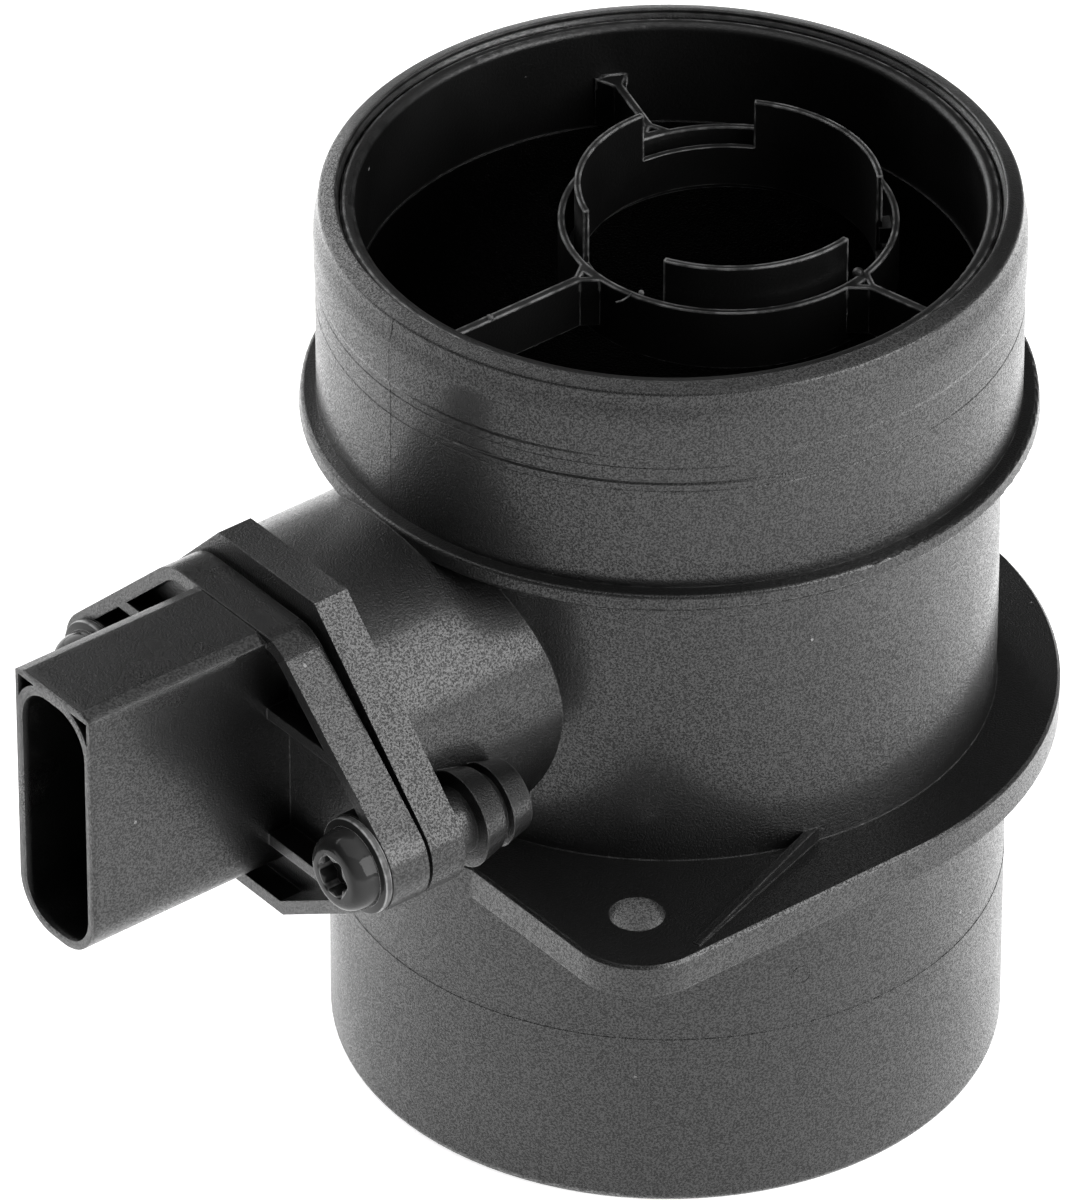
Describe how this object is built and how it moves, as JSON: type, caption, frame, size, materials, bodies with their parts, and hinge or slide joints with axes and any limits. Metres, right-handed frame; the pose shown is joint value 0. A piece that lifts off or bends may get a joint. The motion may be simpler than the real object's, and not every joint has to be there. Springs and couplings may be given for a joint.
{
  "type": "mass airflow sensor",
  "caption": "Flanged round duct with a side-mounted plug-in airflow sensor, spoked inner ring and cable socket.",
  "frame": {"origin": "centre of the lower tube end, on the tube axis", "axes": "+Z along the tube axis towards the hose end, -X along the plug of the sensor"},
  "size_m": [0.1395, 0.0948, 0.1183],
  "materials": {
    "housing_plastic": "fine-grained satin black",
    "insert_plastic": "satin black",
    "sensor_plastic": "fine-grained satin black",
    "cover_plastic": "satin dark grey",
    "seal_rubber": "smooth black",
    "screw_steel": "black, glossy",
    "pin_tin": "tin plated",
    "carrier_metal": "rolled",
    "board_ceramic": "fired ceramic",
    "chip_silicon": "polished",
    "gel_clear": "glossy soft gel",
    "bead_glass": "glass-coated bead on plated leads"
  },
  "bodies": {
    "root": {"tube_housing": "housing_plastic", "flow_insert": "insert_plastic", "metering_sleeve": "insert_plastic", "sensor_housing": "sensor_plastic", "neck_seal": "seal_rubber", "base_plate": "carrier_metal", "circuit_board": "board_ceramic", "chip_carrier": "cover_plastic", "sensing_chip": "chip_silicon", "gel_fill": "gel_clear", "electronics_cover": "cover_plastic", "bypass_cover": "cover_plastic", "temperature_bead": "bead_glass", "screw_near": "screw_steel", "screw_far": "screw_steel", "contact_pin_1": "pin_tin", "contact_pin_2": "pin_tin", "contact_pin_3": "pin_tin", "contact_pin_4": "pin_tin", "contact_pin_5": "pin_tin"}
  },
  "joints": []
}
